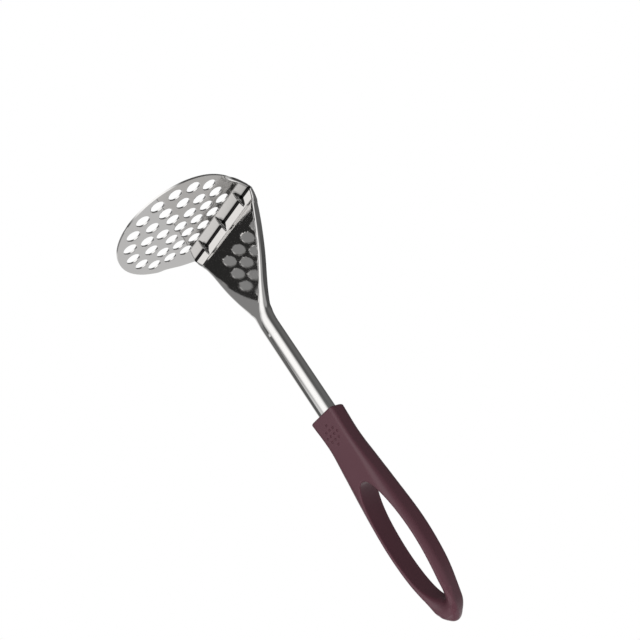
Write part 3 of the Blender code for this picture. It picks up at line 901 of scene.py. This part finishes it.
def moulded_group():
    """Fine spark-eroded grain of a moulding, and slow drift of its colour."""
    group, source, sink = new_group(
        "moulded_grain",
        (("Grain Scale", "NodeSocketFloat", 3000.0),
         ("Colour", "NodeSocketColor", None),
         ("Drift Colour", "NodeSocketColor", None)),
        (("Colour", "NodeSocketColor"), ("Height", "NodeSocketFloat"), ("Mask", "NodeSocketFloat")))
    place = add(group, "ShaderNodeNewGeometry").outputs["Position"]
    grain = add(group, "ShaderNodeTexNoise")
    grain.inputs["Detail"].default_value = 2.0
    group.links.new(place, grain.inputs["Vector"])
    group.links.new(source.outputs["Grain Scale"], grain.inputs["Scale"])
    drift = add(group, "ShaderNodeTexNoise")
    drift.inputs["Scale"].default_value = 45.0
    drift.inputs["Detail"].default_value = 3.0
    group.links.new(place, drift.inputs["Vector"])
    tint = add(group, "ShaderNodeMix", data_type="RGBA")
    group.links.new(drift.outputs["Fac"], tint.inputs["Factor"])
    group.links.new(source.outputs["Colour"], tint.inputs["A"])
    group.links.new(source.outputs["Drift Colour"], tint.inputs["B"])
    group.links.new(tint.outputs["Result"], sink.inputs["Colour"])
    group.links.new(grain.outputs["Fac"], sink.inputs["Height"])
    group.links.new(drift.outputs["Fac"], sink.inputs["Mask"])
    return group


def moulded_finish(name, colour, drift, roughness, roughness_range, grain_depth):
    """Matte moulded plastic with a fine grain."""
    made = bpy.data.materials.new(name)
    made.use_nodes = True
    tree = made.node_tree
    shader = tree.nodes["Principled BSDF"]
    shader.inputs["Metallic"].default_value = 0.0
    shader.inputs["IOR"].default_value = 1.5
    grain = add(tree, "ShaderNodeGroup", node_tree=MOULDED)
    grain.inputs["Colour"].default_value = (*colour, 1.0)
    grain.inputs["Drift Colour"].default_value = (*drift, 1.0)
    tree.links.new(grain.outputs["Colour"], shader.inputs["Base Color"])
    rough = math_node(tree, "MULTIPLY", grain.outputs["Height"], roughness_range)
    rough = math_node(tree, "ADD", rough, roughness)
    tree.links.new(rough, shader.inputs["Roughness"])
    bump = add(tree, "ShaderNodeBump")
    bump.inputs["Strength"].default_value = 0.6
    bump.inputs["Distance"].default_value = grain_depth
    tree.links.new(grain.outputs["Height"], bump.inputs["Height"])
    tree.links.new(bump.outputs["Normal"], shader.inputs["Normal"])
    return made


def plum_plastic():
    return moulded_finish("plum_plastic", (0.074, 0.026, 0.036), (0.085, 0.032, 0.043), 0.33, 0.12,
                          0.03 * MM)


def plug_nylon():
    return moulded_finish("plug_nylon", (0.75, 0.73, 0.68), (0.70, 0.68, 0.62), 0.45, 0.1, 0.02 * MM)


POLISH = polish_group()
MOULDED = moulded_group()


# ---------------------------------------------------------------- studio

FLOOR_SIZE = 8.0
FLOOR_GAP = 0.2 * MM        # between the floor and the part
ROOM_RADIUS = 6.0


def emitting(name, colour, strength):
    made = bpy.data.materials.new(name)
    made.use_nodes = True
    tree = made.node_tree
    tree.nodes.clear()
    glow = add(tree, "ShaderNodeEmission")
    glow.inputs["Color"].default_value = (*colour, 1.0)
    glow.inputs["Strength"].default_value = strength
    sink = add(tree, "ShaderNodeOutputMaterial")
    tree.links.new(glow.outputs[0], sink.inputs["Surface"])
    return made


def unlit(thing):
    """Seen by the camera only: it neither lights the piece nor shows in it."""
    thing.visible_diffuse = False
    thing.visible_glossy = False
    thing.visible_shadow = False


def make_floor():
    """Plain white floor, and a white room round it."""
    white = emitting("pale_floor", (1.0, 1.0, 1.0), 1.0)
    bm = bmesh.new()
    bmesh.ops.create_grid(bm, x_segments=1, y_segments=1, size=FLOOR_SIZE,
                          matrix=Matrix.Translation((0, 0, -FLOOR_GAP)))
    floor = new_object("studio_floor", bm)
    floor.data.materials.append(white)
    unlit(floor)
    bm = bmesh.new()
    bmesh.ops.create_uvsphere(bm, u_segments=48, v_segments=24, radius=ROOM_RADIUS)
    room = new_object("studio_room", bm)
    room.data.materials.append(white)
    unlit(room)


def soft_box_group():
    """How much of a soft light is seen in a direction: 1 inside it, 0 outside."""
    group, source, sink = new_group(
        "soft_box",
        (("Direction", "NodeSocketVector", (0.0, 0.0, 1.0)),
         ("Towards", "NodeSocketVector", (0.0, 0.0, 1.0)),
         ("Inner Cosine", "NodeSocketFloat", 0.9),
         ("Outer Cosine", "NodeSocketFloat", 0.8)),
        (("Amount", "NodeSocketFloat"),))
    dot = add(group, "ShaderNodeVectorMath", operation="DOT_PRODUCT")
    group.links.new(source.outputs["Direction"], dot.inputs[0])
    group.links.new(source.outputs["Towards"], dot.inputs[1])
    fade = add(group, "ShaderNodeMapRange", interpolation_type="SMOOTHSTEP")
    group.links.new(dot.outputs["Value"], fade.inputs["Value"])
    group.links.new(source.outputs["Outer Cosine"], fade.inputs["From Min"])
    group.links.new(source.outputs["Inner Cosine"], fade.inputs["From Max"])
    group.links.new(fade.outputs["Result"], sink.inputs["Amount"])
    return group


# Soft lights: direction, half angles where each is full and where it ends, brightness
SOFT_LIGHTS = (
    ((0.60, 0.75, 0.35), 2.0, 52.0, 0.80),      # behind and above: the plate
    ((0.15, 0.74, 0.65), 7.0, 12.0, 0.90),      # narrow, above: the plate's turned edge
    ((0.50, -0.85, 0.00), 20.0, 27.0, 0.90),    # front: the plate seen in the fan
    ((-0.39, -0.77, -0.51), 11.0, 49.0, 1.60),  # front left, low: the stem
    ((0.53, -0.85, -0.01), 3.0, 9.0, 0.60),     # front, narrow: the plate beside the bend
    ((-0.35, 0.25, 0.90), 20.0, 56.0, 0.70),    # above
    ((-0.97, -0.15, 0.20), 12.0, 30.0, 0.50),   # left
    ((0.95, 0.10, 0.28), 15.0, 35.0, 0.55),     # right
    ((-0.78, 0.62, 0.05), 20.0, 40.0, 0.06),    # left, behind: the fan's turned edge
    ((0.80, 0.50, -0.42), 15.0, 30.0, 0.90),    # right, low: the stem's edge
    ((0.53, -0.15, -0.83), 25.0, 40.0, 0.22),   # below: the fan through the holes
    ((0.00, 0.00, -1.00), 75.0, 100.0, 0.10),   # whole lower half
)
# Light over the front whose back edge is straight, along X: the strip above the bend
STRIP_LIGHT = ((0.53, -0.47, 0.70), 13.0, 19.0, 2.00)
STRIP_EDGE = math.radians(114.5)    # from the +Y axis up and over
STRIP_EDGE_BLUR = 1.5       # degrees
WORLD_LEVEL = 0.05          # light from everywhere


def soft_box(tree, box, direction, towards, inner, outer):
    """Amount of one soft light, in degrees off its middle."""
    light = add(tree, "ShaderNodeGroup", node_tree=box)
    light.inputs["Towards"].default_value = Vector(towards).normalized()
    light.inputs["Inner Cosine"].default_value = math.cos(math.radians(inner))
    light.inputs["Outer Cosine"].default_value = math.cos(math.radians(outer))
    tree.links.new(direction, light.inputs["Direction"])
    return light.outputs["Amount"]


def make_world():
    world = bpy.data.worlds.new("studio")
    bpy.context.scene.world = world
    world.use_nodes = True
    tree = world.node_tree
    tree.nodes.clear()
    direction = add(tree, "ShaderNodeTexCoord").outputs["Generated"]
    box = soft_box_group()
    towards, inner, outer, brightness = STRIP_LIGHT
    strip = soft_box(tree, box, direction, towards, inner, outer)
    past_edge = (0.0, -math.sin(STRIP_EDGE), math.cos(STRIP_EDGE))
    edge = soft_box(tree, box, direction, past_edge, 90.0 - STRIP_EDGE_BLUR, 90.0 + STRIP_EDGE_BLUR)
    total = math_node(tree, "MULTIPLY", strip, edge)
    total = math_node(tree, "MULTIPLY", total, brightness)
    total = math_node(tree, "ADD", total, WORLD_LEVEL)
    for towards, inner, outer, brightness in SOFT_LIGHTS:
        amount = soft_box(tree, box, direction, towards, inner, outer)
        amount = math_node(tree, "MULTIPLY", amount, brightness)
        total = math_node(tree, "ADD", total, amount)
    sky = add(tree, "ShaderNodeBackground")
    tree.links.new(total, sky.inputs["Strength"])
    sink = add(tree, "ShaderNodeOutputWorld")
    tree.links.new(sky.outputs[0], sink.inputs["Surface"])


def area_light(name, place, target, size, power):
    data = bpy.data.lights.new(name, "AREA")
    data.shape = "RECTANGLE"
    data.size, data.size_y = size
    data.energy = power
    light = bpy.data.objects.new(name, data)
    bpy.context.scene.collection.objects.link(light)
    light.location = place
    light.rotation_euler = (Vector(target) - Vector(place)).to_track_quat("-Z", "Y").to_euler()
    light.visible_glossy = False
    return light


def make_lights():
    """Broad key light in front and a weaker one above, for the plastic."""
    area_light("front_key", (-0.35, -0.9, 0.55), (0, 0, 0.17), (0.7, 0.7), 9.0)
    area_light("top_fill", (0.5, 0.1, 0.9), (0, 0, 0.17), (0.8, 0.8), 3.0)


# Camera: where it stands, and which way its picture's right and top point
CAMERA_PLACE = Vector((-245.1, -331.6, 220.6)) * MM
CAMERA_RIGHT = Vector((-0.57905, 0.55372, 0.59841))
CAMERA_TOP = Vector((-0.63707, 0.15072, -0.75592))
LENS_MM = 40.41
SENSOR_MM = 36.0


def make_camera():
    data = bpy.data.cameras.new("camera")
    data.lens = LENS_MM
    data.sensor_width = SENSOR_MM
    data.clip_start = 0.01
    camera = bpy.data.objects.new("camera", data)
    bpy.context.scene.collection.objects.link(camera)
    right = CAMERA_RIGHT.normalized()
    back = right.cross(CAMERA_TOP).normalized()
    top = back.cross(right)
    turn = Matrix((right, top, back)).transposed().to_4x4()
    camera.matrix_world = Matrix.Translation(CAMERA_PLACE) @ turn
    bpy.context.scene.camera = camera


bpy.context.scene.view_settings.view_transform = "Standard"
make_camera()
make_world()
make_lights()
make_floor()
make_head()
make_tube()
finish_hidden()
make_handle()
